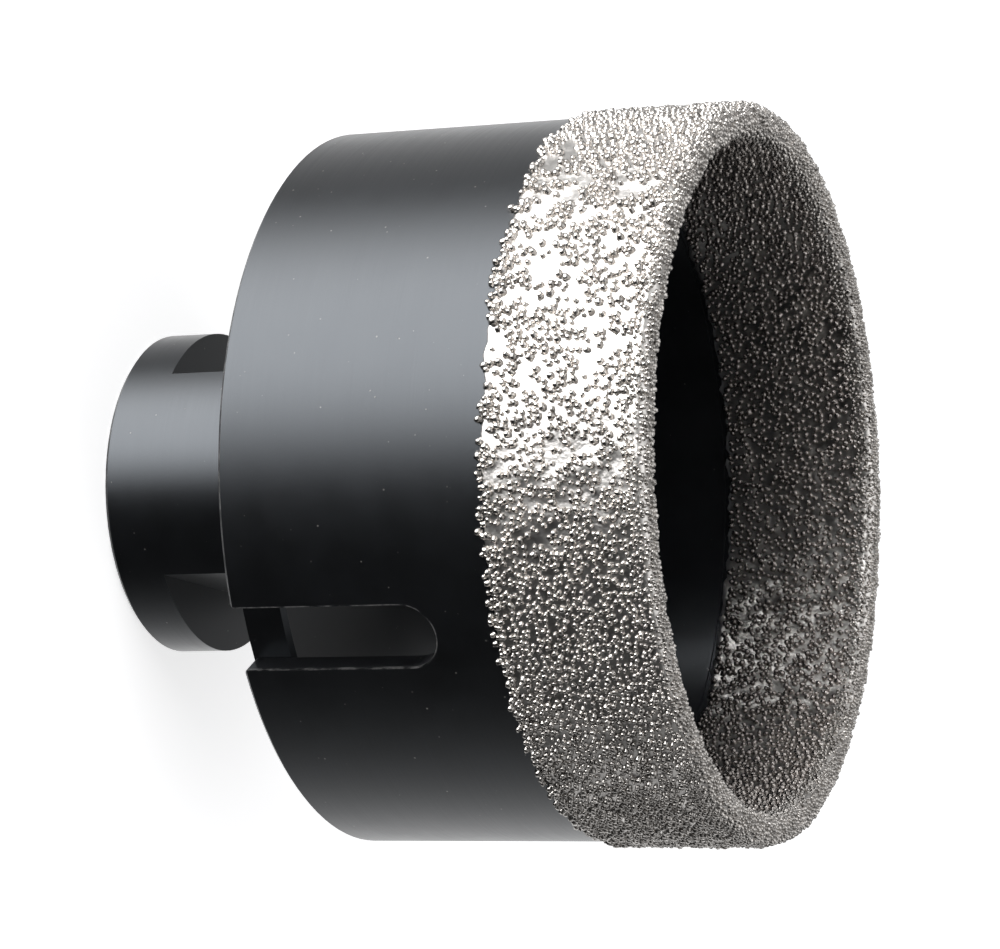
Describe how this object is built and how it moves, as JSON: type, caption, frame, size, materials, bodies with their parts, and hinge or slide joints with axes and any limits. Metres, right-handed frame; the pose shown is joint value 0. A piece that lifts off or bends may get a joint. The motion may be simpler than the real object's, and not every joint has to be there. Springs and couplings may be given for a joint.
{
  "type": "diamond core bit",
  "caption": "Cup-shaped core bit for an angle grinder: slotted steel barrel with a brazed diamond rim, on a threaded hub with wrench flats.",
  "frame": {"origin": "centre of the hub's end face, on which the bit stands with its cup open upwards", "axes": "+Z along the axis from the hub to the cutting rim, +X through the middle of the first slot"},
  "size_m": [0.068, 0.068, 0.0606],
  "materials": {
    "blackened_steel": "satin black oxide over fine turning marks",
    "brazed_diamond": "bright nickel braze over coarse diamond grit"
  },
  "bodies": {
    "root": {"flanged_hub": "blackened_steel", "core_barrel": "blackened_steel", "diamond_coat": "brazed_diamond"}
  },
  "joints": []
}
